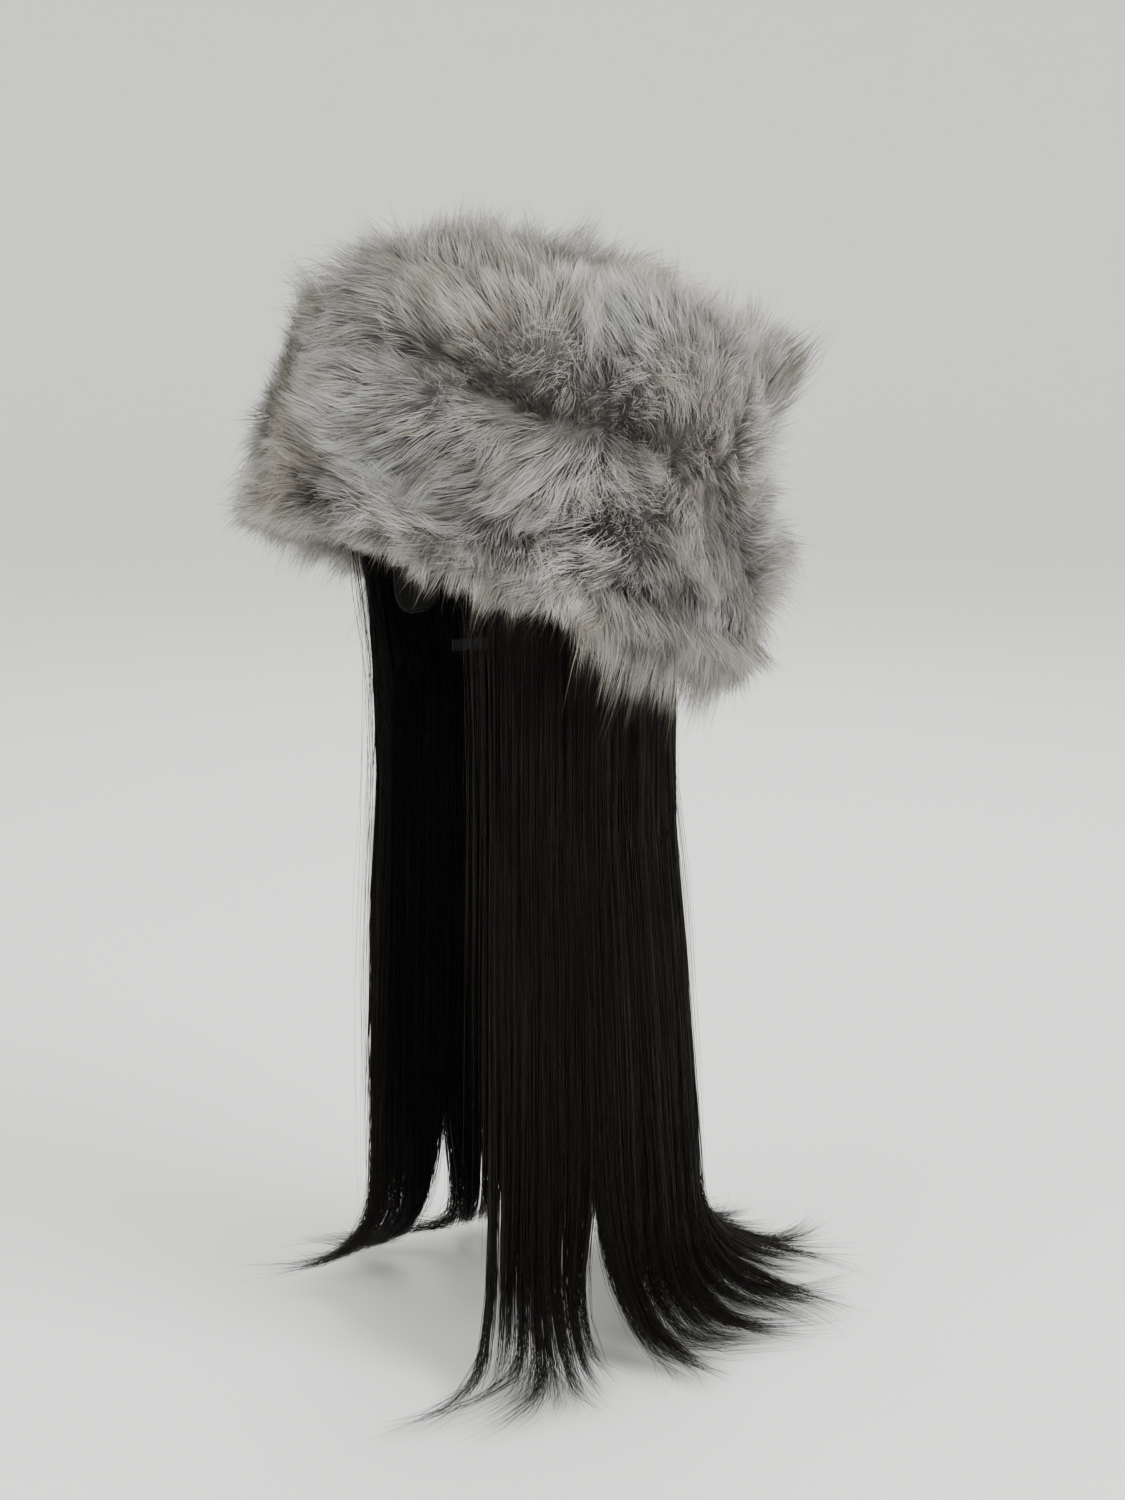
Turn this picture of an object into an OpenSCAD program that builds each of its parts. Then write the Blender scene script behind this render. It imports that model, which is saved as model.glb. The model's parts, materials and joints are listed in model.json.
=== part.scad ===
// Long straight costume wig on a stretch cap, worn under a tall faux-fur hat that lifts off.
// Millimetres. +Z up, the face looks along -Y and the wearer's left is +X.
// The origin is the middle of the head at brow height, where the head enters the cap.
// A bearing is counted in degrees from the back of the head, positive towards the wearer's left.

/* [Head] */
// Half width of the head that the cap fits
head_half_width = 73; // [70:1:78]
// Half length of the head, brow to back
head_half_length = 92; // [88:1:98]
// Height of the head's top above the brow plane
head_top = 104; // [98:1:112]

/* [Wig] */
// Depth of the hair that lies on the cap
hair_depth = 7; // [5:0.5:8]
// Thickness of a hanging curtain of hair
curtain_depth = 11; // [8:1:14]
// Height of the brow plane above the surface that the hair ends reach
hair_drop = 457; // [400:1:520]
// Bearing of the front edge of the hanging hair
hair_front_bearing = 123; // [115:1:128]
// How far the back hair leans out on its way down
back_lean = 25; // [10:1:30]
// How far the front hair leans out on its way down
front_lean = 14; // [5:1:20]
// How far the hair ends spread where they meet the surface
end_spread = 68; // [30:1:75]
// Height between two weft rows on the crown
weft_step = 15; // [12:0.5:16]

/* [Hat] */
// Backward tilt of the hat
hat_tilt = 19.5; // [17:0.5:21]
// Half width of the hat's inside
hat_inside = 93; // [92:1:98]
// Inside height of the hat above its rim
hat_height = 158; // [152:1:175]
// Depth of the fur pile
pile_depth = 33; // [20:1:45]

/* [Hidden] */

// Colours
hair_black = "#14110f";
lace_black = "#1d1b1a";
velvet_black = "#232021";
elastic_black = "#191919";
comb_brown = "#3a2b22";
steel = "#b9bcc0";
skin_tone = "#c9a58a";
fur_grey = "#a3a19c";
knit_grey = "#77736c";
satin_grey = "#6f7074";
wadding_white = "#e4e2dc";

// Layers on the head, as half widths at the brow plane
net = 0.8;
net_in = head_half_width + 0.2;
net_out = net_in + net;
weft_in = net_out + 0.25;
weft_out = weft_in + 1.3;
hair_in = weft_out + 0.3;
hair_out = hair_in + hair_depth;
head_stretch = head_half_length / head_half_width;
arc_steps = 14;

// Edge of the cap at the face: it runs down from the hairline to the temples
face_edge_y = -54;
face_edge_z = -6;
face_slope = 58;

// Parting and wefts
patch_wide = 34;
patch_back_y = 26;
patch_front_y = -66;
crown_wefts = 6;
nape_wefts = 2;
weft_high = 4;
weft_first_z = 4;
weft_bearing = 118;
nape_weft_step = 18;
nape_bearing = 74;
nape_drop = 62;

// Ear tabs, stays, combs and straps
tab_from = 94;
tab_to = 116;
tab_drop = 36;
stay_wide = 4;
comb_teeth = 11;
comb_turn = 22;
comb_gap = 2.2;
comb_spine_high = 4;
tooth_radius = 0.55;
tooth_length = 17;
strap_wide = 7;
strap_thick = 0.8;
strap_from = 31.5;
strap_to = 92;
loop_count = 5;
loop_pitch = 9;
hook_from = 24;

// Space between the strap hardware and the nape's edge
strap_gap = 2.6;
loop_gap = 1.4;
hook_gap = 3.6;

// Hat layers, as offsets out from the inside surface
hat_stretch = 1.22;
hat_origin = [0, -3, -14.5];
lining = 1.2;
wadding = 4;
backing = 1.8;
backing_from = lining + wadding;
backing_to = backing_from + backing;
seam_tape = 1.2;
pile_from = backing_to + seam_tape + 0.3;
pile_to = backing_to + pile_depth;
sweatband = 1.2;
sweatband_high = 30;
binding_high = 4;
shoulder_share = 0.42;
seam_step = 2;
rim_drop = 16;

// A dome's share of its half width at a height: the cap closes in below the brow plane
function lower_share(z) = 1 - 0.14 * pow(z / 70, 2);
function dome_share(z, t) = z >= 0 ? sqrt(max(0, 1 - pow(z / t, 2))) : lower_share(z);
function radius_at(r, z) = r * dome_share(z, head_top + r - head_half_width);

// The quarter ellipse from the brow plane to the crown, as [radius, height]
function dome_line(r) = [
    for (i = [0 : arc_steps])
        let (a = 90 * i / arc_steps)
        [r * cos(a), (head_top + r - head_half_width) * sin(a)]
];

// The same surface below the brow plane, from the brow down to a drop
function neck_line(r, drop, steps = 4) = [
    for (i = [0 : steps]) [radius_at(r, -drop * i / steps), -drop * i / steps]
];

// A hanging curtain's inside: it follows the head to the nape, leans out, then spreads on the surface
lean_from = 70;
spread_height = 68;
function lean_share(z) = pow(max(0, -z - lean_from) / (hair_drop - lean_from), 1.2);
function spread_share(z) = pow(max(0, -z - hair_drop + spread_height) / spread_height, 2.2);
function curtain_inside(z, lean, spread) =
    hair_in * lower_share(max(z, -nape_drop)) + lean * lean_share(z) + spread * spread_share(z);

// Its thickness grows from the cap to the middle of its length, and thins to the ends
function curtain_thickness(z) =
    -z < 80 ? hair_depth
    : -z < 200 ? hair_depth + (curtain_depth - hair_depth) * (-z - 80) / 120
    : curtain_depth * (1 - 0.6 * pow((-z - 200) / (hair_drop - 200), 2));

// The nape's curve at the back, as a circle that the hooks follow
nape_radius = net_in * lower_share(-nape_drop);
nape_circle_r = nape_radius / head_stretch;
nape_circle_y = nape_radius * head_stretch - nape_circle_r;

function reversed(list) = [for (i = [len(list) - 1 : -1 : 0]) list[i]];

// Turns a profile of [radius, height] through a range of bearings, on the head's or the hat's ellipse
module swept(from, to, stretch) {
    turns = to - from > 240 ? ceil((to - from) / 91) : 1;
    step = (to - from) / turns;
    scale([1, stretch, 1])
        for (i = [0 : turns - 1])
            rotate([0, 0, 90 - to + step * i])
                rotate_extrude(angle = step, $fn = 180)
                    children();
}

module around_head(from, to) {
    swept(from, to, head_stretch) children();
}

// A shell of the dome between two half widths
module dome_shell(inner, outer, from, to) {
    around_head(from, to)
        polygon(concat(dome_line(outer), reversed(dome_line(inner))));
}

// A shell of the surface below the brow plane
module neck_shell(inner, outer, drop, from, to) {
    around_head(from, to)
        polygon(concat(neck_line(outer, drop), reversed(neck_line(inner, drop))));
}

// A band at one height that follows the dome
module dome_band(inner, outer, z, high, from, to) {
    around_head(from, to)
        polygon([
            [radius_at(inner, z), z],
            [radius_at(outer, z), z],
            [radius_at(outer, z + high), z + high],
            [radius_at(inner, z + high), z + high]
        ]);
}

// The space in front of the cap's edge at the face, raised along the slope by a margin
module face_space(margin = 0) {
    size = 400;
    translate([0, face_edge_y, face_edge_z + margin])
        rotate([-face_slope, 0, 0])
            translate([-size / 2, -size, -size])
                cube([size, size, size]);
}

// Hair ---------------------------------------------------------------------

// Hair combed from the parting over one side of the cap
module hair_crown(side) {
    from = side > 0 ? 0 : -hair_front_bearing;
    color(hair_black)
        dome_shell(hair_in, hair_out, from, from + hair_front_bearing);
}

// Hair swept from the front of the parting to the temple, down to the cap's edge
module hair_front(side) {
    from = side > 0 ? hair_front_bearing : 180;
    to = side > 0 ? 180 : 360 - hair_front_bearing;
    color(hair_black)
        difference() {
            dome_shell(hair_in, hair_out, from, to);
            face_space();
        }
}

// One hanging curtain between two bearings, down to a drop
module hair_curtain(from, to, lean, spread, drop) {
    head_steps = 8;
    hang_steps = 14;
    heights = concat(
        [for (i = [0 : head_steps - 1]) -nape_drop * i / head_steps],
        [for (i = [0 : hang_steps]) -nape_drop - (drop - nape_drop) * i / hang_steps]
    );
    inner = [for (z = heights) [curtain_inside(z, lean, spread), z]];
    outer = [for (z = heights) [curtain_inside(z, lean, spread) + curtain_thickness(z), z]];
    color(hair_black)
        around_head(from, to)
            polygon(concat(outer, reversed(inner)));
}

side_bearings = [78, 98];
nape_half = 26;
shoulder_drop = hair_drop - 75;
side_spread = 0.6 * end_spread;
nape_spread = 1.3 * end_spread;

module hair_temple(side) {
    mirror([side > 0 ? 0 : 1, 0, 0])
        hair_curtain(side_bearings[1], hair_front_bearing, front_lean, end_spread, hair_drop);
}

module hair_side(side) {
    mirror([side > 0 ? 0 : 1, 0, 0])
        hair_curtain(side_bearings[0], side_bearings[1], (front_lean + back_lean) / 2, 0, shoulder_drop);
}

module hair_back(side) {
    mirror([side > 0 ? 0 : 1, 0, 0])
        hair_curtain(nape_half, side_bearings[0], back_lean, side_spread, hair_drop);
}

module hair_nape() {
    hair_curtain(-nape_half, nape_half, back_lean, nape_spread, hair_drop);
}

// Cap ----------------------------------------------------------------------

// The stretch net over the crown, cut away at the face
module cap_crown_net() {
    color(lace_black)
        difference() {
            dome_shell(net_in, net_out, 0, 360);
            face_space(4);
        }
}

module cap_nape_panel() {
    color(lace_black)
        neck_shell(net_in, net_out, nape_drop, -nape_bearing, nape_bearing);
}

// The velvet ribbon inside the cap along the forehead
module cap_front_band() {
    band_high = 16;
    color(velvet_black)
        intersection() {
            dome_shell(net_in - 1, net_in - 0.2, hair_front_bearing, 360 - hair_front_bearing);
            difference() {
                face_space(4 + band_high);
                face_space(4);
            }
        }
}

module cap_nape_band() {
    band_high = 11;
    color(velvet_black)
        dome_band(net_in - 1, net_in - 0.2, -nape_drop, band_high, -nape_bearing, nape_bearing);
}

// The skin-coloured patch under the parting, laid in the hair's bed on top of the net
module parting_patch() {
    color(skin_tone)
        intersection() {
            dome_shell(weft_in, weft_in + 0.9, 0, 360);
            translate([-patch_wide / 2, patch_front_y, head_top / 2])
                cube([patch_wide, patch_back_y - patch_front_y, head_top]);
        }
}

module weft_row(i) {
    z = weft_first_z + weft_step * (i - 1);
    color(lace_black)
        dome_band(weft_in, weft_out, z, weft_high, -weft_bearing, weft_bearing);
}

module weft_row_nape(i) {
    z = -nape_weft_step * i;
    color(lace_black)
        dome_band(weft_in, weft_out, z, weft_high, -nape_bearing + 8 * i, nape_bearing - 8 * i);
}

// The velvet tab in front of an ear
module ear_tab(side) {
    color(velvet_black)
        mirror([side > 0 ? 0 : 1, 0, 0])
            neck_shell(net_in - 1.2, net_in, tab_drop, tab_from, tab_to);
}

// The bendable steel stay sewn on the tab
module ear_stay(side) {
    middle = (tab_from + tab_to) / 2;
    half = asin(stay_wide / 2 / head_half_width);
    color(steel)
        mirror([side > 0 ? 0 : 1, 0, 0])
            neck_shell(net_in + 0.15, net_in + 0.75, tab_drop - 3, middle - half, middle + half);
}

// A curved wig comb with its spine at a height and its teeth pointing up or down
module comb(bearing, z, up) {
    from = bearing - comb_turn / 2;
    r = radius_at(net_in, z) - comb_gap;
    color(comb_brown) {
        around_head(from, from + comb_turn)
            translate([r - 1, z])
                square([2, comb_spine_high]);
        for (i = [0 : comb_teeth - 1]) {
            b = from + comb_turn * (i + 0.5) / comb_teeth;
            translate([r * sin(b), r * head_stretch * cos(b), up ? z + comb_spine_high - 0.5 : z + 0.5])
                rotate([up ? 0 : 180, 0, 0])
                    cylinder(h = tooth_length, r = tooth_radius, $fn = 16);
        }
    }
}

// Straps -------------------------------------------------------------------

strap_z = -nape_drop + 2;

// A ring sector about the nape's own circle, at a gap inside the nape's edge
module on_nape_circle(gap, thick, z, high, from, to) {
    translate([0, nape_circle_y, z])
        rotate([0, 0, 90 - to])
            rotate_extrude(angle = to - from, $fn = 96)
                translate([nape_circle_r - gap - thick, 0])
                    square([thick, high]);
}

// An adjusting elastic that runs from below the ear tab to the hook
module strap(side) {
    color(elastic_black)
        mirror([side > 0 ? 0 : 1, 0, 0])
            around_head(strap_from, strap_to)
                translate([nape_radius - strap_gap - strap_thick, strap_z])
                    square([strap_thick, strap_wide]);
}

// The row of loops at the middle of the nape that a hook catches
module strap_loops() {
    half_loop = 2.4;
    color(elastic_black)
        for (i = [0 : loop_count - 1]) {
            middle = (i - (loop_count - 1) / 2) * loop_pitch;
            on_nape_circle(loop_gap, strap_thick, strap_z - 0.5, strap_wide + 1,
                middle - half_loop, middle + half_loop);
        }
}

// The hook on the end of an elastic: a slider plate with two slots and a turned-in hook
module strap_hook(side) {
    plate_turn = 14;
    slot_turn = 2;
    color(steel)
        mirror([side > 0 ? 0 : 1, 0, 0]) {
            difference() {
                on_nape_circle(hook_gap, strap_thick, strap_z - 0.5, strap_wide + 1,
                    hook_from, hook_from + plate_turn);
                for (turn = [4, 8])
                    on_nape_circle(hook_gap - 1, strap_thick + 2, strap_z + 1, strap_wide - 2,
                        hook_from + turn, hook_from + turn + slot_turn);
            }
            on_nape_circle(hook_gap, strap_thick, strap_z + 2, 3, hook_from - 5, hook_from);
        }
}

// Hat ----------------------------------------------------------------------

// Places what follows in the hat's own frame: its rim plane at zero, its axis leaning back
module in_hat() {
    translate(hat_origin)
        rotate([-hat_tilt, 0, 0])
            children();
}

module around_hat(from, to) {
    in_hat()
        swept(from, to, hat_stretch)
            children();
}

// The hat's wall and domed crown at an offset out from the inside surface, as [radius, height] points
function hat_wall_top(offset) = (hat_height + offset) * shoulder_share;
function hat_point(offset, a) =
    let (wall = hat_wall_top(offset))
    [(hat_inside + offset) * cos(a), wall + (hat_height + offset - wall) * sin(a)];
function hat_arc(offset, from, to) = [for (i = [from : to]) hat_point(offset, 90 * i / arc_steps)];

// A layer of the hat between two offsets: the whole, or the side band or crown panel alone
module hat_layer(inner, outer, from_z) {
    around_hat(0, 360)
        polygon(concat(
            [[hat_inside + outer, from_z]], hat_arc(outer, 0, arc_steps),
            reversed(hat_arc(inner, 0, arc_steps)), [[hat_inside + inner, from_z]]
        ));
}

module hat_band_part(inner, outer, from_z, from, to) {
    around_hat(from, to)
        polygon(concat(
            [[hat_inside + outer, from_z]], hat_arc(outer, 0, seam_step),
            reversed(hat_arc(inner, 0, seam_step)), [[hat_inside + inner, from_z]]
        ));
}

module hat_crown_part(inner, outer) {
    around_hat(0, 360)
        polygon(concat(
            hat_arc(outer, seam_step, arc_steps),
            reversed(hat_arc(inner, seam_step, arc_steps))
        ));
}

module hat_lining() {
    color(satin_grey) hat_layer(0, lining, binding_high);
}

module hat_wadding() {
    color(wadding_white) hat_layer(lining, backing_from, binding_high);
}

module hat_band_backing(from, to) {
    color(knit_grey) hat_band_part(backing_from, backing_to, binding_high, from, to);
}

module hat_crown_backing() {
    color(knit_grey) hat_crown_part(backing_from, backing_to);
}

// An upright ring between two offsets
module hat_ring(inner, outer, from_z, high) {
    around_hat(0, 360)
        translate([hat_inside + inner, from_z])
            square([outer - inner, high]);
}

// The tape over the seam between the crown panel and the side band, in two lengths under the pile
module hat_crown_seam() {
    seam = 90 * seam_step / arc_steps;
    half_turn = 178;
    color(knit_grey)
        for (from = [1, 181])
            around_hat(from, from + half_turn)
                polygon([
                    hat_point(backing_to + 0.05, seam - 2),
                    hat_point(backing_to + seam_tape, seam - 2),
                    hat_point(backing_to + seam_tape, seam + 2),
                    hat_point(backing_to + 0.05, seam + 2)
                ]);
}

module hat_sweatband() {
    color(velvet_black) hat_ring(-sweatband, 0, 1, sweatband_high);
}

module hat_rim_binding() {
    color(satin_grey) hat_ring(0, backing_to, 0, binding_high);
}

// Fur pile on one stretch of the side band
module fur_band(from, to) {
    color(fur_grey) hat_band_part(pile_from, pile_to, binding_high + 1, from, to);
}

module fur_crown() {
    color(fur_grey) hat_crown_part(pile_from, pile_to);
}

// The fringe of pile that hangs below the rim
module fur_rim() {
    fringe_in = hat_inside + 3;
    fringe_out = hat_inside + pile_to - 4;
    color(fur_grey)
        around_hat(0, 360)
            polygon([
                [fringe_in, -0.2],
                [fringe_in + 4, -rim_drop],
                [fringe_out - 14, -rim_drop],
                [fringe_out, -0.2]
            ]);
}

// Assembly -----------------------------------------------------------------

hair_crown(1);  // hair_crown_left
hair_crown(-1);  // hair_crown_right
hair_front(1);  // hair_front_left
hair_front(-1);  // hair_front_right
hair_temple(1);  // hair_temple_left
hair_temple(-1);  // hair_temple_right
hair_side(1);  // hair_side_left
hair_side(-1);  // hair_side_right
hair_back(1);  // hair_back_left
hair_back(-1);  // hair_back_right
hair_nape();
cap_crown_net();
cap_nape_panel();
cap_front_band();
cap_nape_band();
parting_patch();
ear_tab(1);  // ear_tab_left
ear_tab(-1);  // ear_tab_right
ear_stay(1);  // ear_stay_left
ear_stay(-1);  // ear_stay_right
comb(106, 10, false);  // comb_left
comb(-106, 10, false);  // comb_right
comb(0, -44, true);  // comb_nape
strap(1);  // strap_left
strap(-1);  // strap_right
strap_loops();
strap_hook(1);  // strap_hook_left
strap_hook(-1);  // strap_hook_right
for (i = [1 : crown_wefts])
    weft_row(i);
for (i = [1 : nape_wefts])
    weft_row_nape(i);
fur_crown();
fur_band(135, 225);  // fur_front
fur_band(-45, 45);  // fur_back
fur_band(45, 135);  // fur_left
fur_band(-135, -45);  // fur_right
fur_rim();
hat_crown_backing();
hat_band_backing(90, 270);  // hat_band_backing_front
hat_band_backing(-90, 90);  // hat_band_backing_back
hat_crown_seam();
hat_wadding();
hat_lining();
hat_sweatband();
hat_rim_binding();
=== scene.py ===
import json
import math

import bmesh
import bpy
import numpy as np
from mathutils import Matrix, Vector
from mathutils.kdtree import KDTree
from numpy import arange, array, clip, concatenate, cos, exp, linspace, radians, roll, sign, sin, stack, where


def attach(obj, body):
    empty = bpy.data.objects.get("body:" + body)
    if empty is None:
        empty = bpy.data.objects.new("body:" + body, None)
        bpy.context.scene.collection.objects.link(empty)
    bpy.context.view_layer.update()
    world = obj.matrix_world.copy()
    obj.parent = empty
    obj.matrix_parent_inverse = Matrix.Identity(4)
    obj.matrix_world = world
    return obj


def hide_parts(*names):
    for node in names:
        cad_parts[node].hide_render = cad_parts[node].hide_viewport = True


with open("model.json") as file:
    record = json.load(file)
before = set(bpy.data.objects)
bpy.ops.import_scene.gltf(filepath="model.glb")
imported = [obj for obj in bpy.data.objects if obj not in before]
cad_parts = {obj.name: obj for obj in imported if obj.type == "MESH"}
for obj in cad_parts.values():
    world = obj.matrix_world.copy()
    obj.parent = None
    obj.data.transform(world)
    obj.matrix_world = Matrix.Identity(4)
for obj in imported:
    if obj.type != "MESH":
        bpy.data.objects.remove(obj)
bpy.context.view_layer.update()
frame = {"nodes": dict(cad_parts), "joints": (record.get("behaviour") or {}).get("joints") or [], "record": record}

MM = 0.001

# The head and the wig, in millimetres, as the frame has them. A bearing is in degrees from the back of the
# head, positive to the wearer's left.
HEAD_HALF_WIDTH = 73.0
HEAD_TOP = 104.0
STRETCH = 92.0 / 73.0
HAIR_IN = 75.85
HAIR_DEPTH = 7.0
CURTAIN_DEPTH = 11.0
DROP = 457.0
NAPE = 62.0
LEAN_FROM = 70.0
SPREAD_HEIGHT = 68.0
FRONT_BEARING = 123.0

# The hat, in millimetres, in its own frame: its rim plane is at zero
HAT_STRETCH = 1.22
HAT_ORIGIN = array([0.0, -3.0, -14.5])
HAT_INSIDE = 93.0
HAT_HEIGHT = 158.0
SHOULDER = 0.42
BACKING = 7.0
LIFT = next(j for j in frame["joints"] if j["name"] == "hat_lift")["axis"]
TILT = math.atan2(LIFT[1], LIFT[2])
DOWN = array([0.0, 0.0, -1.0])

# Hues of the fur, stacked up the texture square
HUES = 4
NEUTRAL, OLIVE, BLUE_GREY, GUARD = range(HUES)


# ---- Numbers

def stacked(x, y, z):
    """Points from their coordinates."""
    return stack([x, y, z], axis=-1)


def smooth(x, lo, hi):
    t = clip((x - lo) / (hi - lo), 0, 1)
    return t * t * (3 - 2 * t)


def eased(x, start, room):
    """Values past start are drawn in so that they never pass start + room."""
    return where(x > start, start + room * np.tanh((x - start) / room), x)


def unit(v):
    return v / np.maximum(np.linalg.norm(v, axis=-1, keepdims=True), 1e-9)


def waves(seed, wavelength, count=7):
    """A smooth field over space, about -1 to 1, from a sum of sine waves."""
    rng = np.random.default_rng(seed)
    k = unit(rng.normal(size=(count, 3))) * (2 * math.pi / wavelength)
    k *= rng.uniform(0.7, 1.4, (count, 1))
    phase = rng.uniform(0, 2 * math.pi, count)
    return lambda p: sin(p @ k.T + phase).sum(axis=-1) / math.sqrt(count / 2) * 0.7


def from_hat(p):
    """Points in the hat's own frame, turned and moved to the row frame."""
    c, s = math.cos(TILT), math.sin(TILT)
    x, y, z = p[..., 0], p[..., 1], p[..., 2]
    return stacked(x, y * c + z * s, z * c - y * s) + HAT_ORIGIN


def turned(bearing, along_x, along_y, z):
    """Points at a bearing on an ellipse with the given half widths."""
    b = radians(bearing)
    return stacked(along_x * sin(b), along_y * cos(b), z + 0 * b)


def around_grid(rows, around, low, high):
    """Bearings all the way round by heights from low to high, each as a grid (rows, around)."""
    bearing = linspace(-180, 180, around, endpoint=False)[None].repeat(rows, 0)
    return bearing, linspace(low, high, rows)[:, None].repeat(around, 1)


# ---- Meshes

def mesh_object(name, verts, faces, mat, uv=None):
    """A smooth mesh in metres from points in millimetres; faces is a list of index arrays."""
    verts = verts.reshape(-1, 3)
    me = bpy.data.meshes.new(name)
    me.vertices.add(len(verts))
    me.vertices.foreach_set("co", (verts * MM).astype(np.float32).ravel())
    loops = concatenate([f.ravel() for f in faces]).astype(np.int32)
    sizes = concatenate([np.full(len(f), f.shape[1]) for f in faces]).astype(np.int32)
    me.loops.add(len(loops))
    me.loops.foreach_set("vertex_index", loops)
    me.polygons.add(len(sizes))
    me.polygons.foreach_set("loop_start", (np.cumsum(sizes) - sizes).astype(np.int32))
    me.polygons.foreach_set("use_smooth", np.ones(len(sizes), dtype=bool))
    me.update(calc_edges=True)
    if uv is not None:
        layer = me.uv_layers.new(name="OFBake")
        layer.data.foreach_set("uv", uv[loops].astype(np.float32).ravel())
    me.validate()
    me.materials.append(mat)
    return linked(name, me)


def linked(name, data):
    ob = bpy.data.objects.new(name, data)
    bpy.context.scene.collection.objects.link(ob)
    return ob


def piece(ob, body, slot, *nodes):
    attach(ob, body)
    if nodes:
        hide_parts(*nodes)


def quads_between(a, b):
    """Quads between two rows of grids of point numbers, or between a grid's rows and the next ones."""
    return stack([a[:, :-1], b[:, :-1], b[:, 1:], a[:, 1:]], axis=-1).reshape(-1, 4)


def side_quads(rings, sides):
    """The faces between a tube's rings of points."""
    pairs = [(j, (j + 1) % sides) for j in range(sides)]
    return [[r + j, r + k, r + sides + k, r + sides + j]
            for r in range(0, sides * (rings - 1), sides) for j, k in pairs]


def for_each(faces, count, step):
    """The faces of the first of count equal parts, with the others' after them; each part has step points."""
    return (array(faces)[None] + (arange(count) * step)[:, None, None]).reshape(-1, len(faces[0]))


def strands(name, paths, width, flat, tone, mat, seed, band=None):
    """Tapered three-sided fibres along paths (count, points, 3), closed at the root and drawn to a point.

    tone and band place each fibre in the texture square: tone across it, band up it in quarters.
    """
    margin, lean, across = 0.02, 0.6, 0.004
    n, k, _ = paths.shape
    rings = k - 1
    rng = np.random.default_rng(seed)
    tangent = unit(np.gradient(paths, axis=1))
    ref = unit(rng.normal(size=(n, 1, 3)) * lean + unit(paths[:, :1] * [1, 1, 0.2]))
    side = unit(np.cross(tangent, ref))
    up = np.cross(tangent, side)
    verts = np.empty((n, rings * 3 + 1, 3))
    for j in range(3):
        a = 2 * math.pi * j / 3
        offset = (side * math.cos(a) + up * (math.sin(a) * flat)) * width[:, :, None]
        verts[:, j:rings * 3:3] = (paths + offset)[:, :rings]
    verts[:, -1] = paths[:, -1]
    last = 3 * (rings - 1)
    tris = [[2, 1, 0]] + [[last + j, last + (j + 1) % 3, last + 3] for j in range(3)]
    faces = [for_each(f, n, rings * 3 + 1) for f in (side_quads(rings, 3), tris)]
    along = concatenate([np.repeat(arange(rings) / rings, 3), [1]])
    v = np.repeat(along[None], n, 0)
    if band is not None:
        v = (band[:, None] + margin + (1 - 2 * margin) * v) / HUES
    spread = concatenate([np.tile([-across, 0, across], rings), [0]])
    u = clip(tone, 0.01, 0.99)[:, None] + spread[None]
    return mesh_object(name, verts, faces, mat, stack([u, v], axis=-1).reshape(-1, 2))


def shell(name, outer, inner, mat):
    """A closed shell from two grids of points (rows, around, 3) that wrap round and meet at the last row."""
    rows, around, _ = outer.shape
    grid = arange(rows * around).reshape(rows, around)
    nxt = roll(grid, -1, axis=1)
    quads_out = stack([grid[:-1], nxt[:-1], nxt[1:], grid[1:]], axis=-1).reshape(-1, 4)
    quads_in = quads_out[:, ::-1] + rows * around
    rim = stack([grid[0] + rows * around, nxt[0] + rows * around, nxt[0], grid[0]], axis=-1)
    caps = [grid[-1][None], (grid[-1] + rows * around)[::-1][None]]
    return mesh_object(name, stack([outer, inner]), [quads_out, quads_in, rim] + caps, mat)


# ---- Materials

class Material:
    """A material under construction: its node tree, and the inputs of its main shader."""

    def __init__(self, name, roughness, specular=0.5, sheen=0, metallic=0):
        self.made = bpy.data.materials.new(name)
        self.made.use_nodes = True
        self.tree = self.made.node_tree
        self.shader = self.tree.nodes["Principled BSDF"].inputs
        self.shader["Roughness"].default_value = roughness
        self.shader["Specular IOR Level"].default_value = specular
        self.shader["Sheen Weight"].default_value = sheen
        self.shader["Metallic"].default_value = metallic

    def node(self, kind, inputs, output=0, **settings):
        """Adds a node. Each input is a constant or another node's output. Gives the node's own output."""
        made = self.tree.nodes.new("ShaderNode" + kind)
        for key, value in settings.items():
            setattr(made, key, value)
        for socket, value in inputs.items():
            if isinstance(value, bpy.types.NodeSocket):
                self.tree.links.new(value, made.inputs[socket])
            else:
                made.inputs[socket].default_value = value
        return made.outputs[output]

    def math(self, operation, a, b=0):
        return self.node("Math", {0: a, 1: b}, operation=operation)

    def mix(self, mode, factor, a, b):
        return self.node("Mix", {0: factor, 6: a, 7: b}, 2, data_type="RGBA", blend_type=mode)

    def noise(self, scale, detail):
        return self.node("TexNoise", {"Vector": self.place(), "Scale": scale, "Detail": detail})

    def place(self):
        return self.node("TexCoord", {}, "Object")

    def ramp(self, factor, *stops):
        """The colour at factor between stops of (place, colour)."""
        colour = self.node("ValToRGB", {0: factor})
        elements = colour.node.color_ramp.elements
        while len(elements) < len(stops):
            elements.new(0.5)
        for e, (at, c) in zip(elements, stops):
            e.position, e.color = at, (*c, 1)
        return colour

    def texture_square(self):
        """Where a fibre lies in the texture square: across it and up it."""
        across = self.node("SeparateXYZ", {0: self.node("UVMap", {}, uv_map="OFBake")})
        return across, across.node.outputs[1]

    def coloured(self, colour):
        self.tree.links.new(colour, self.shader["Base Color"])
        return self.made


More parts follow.
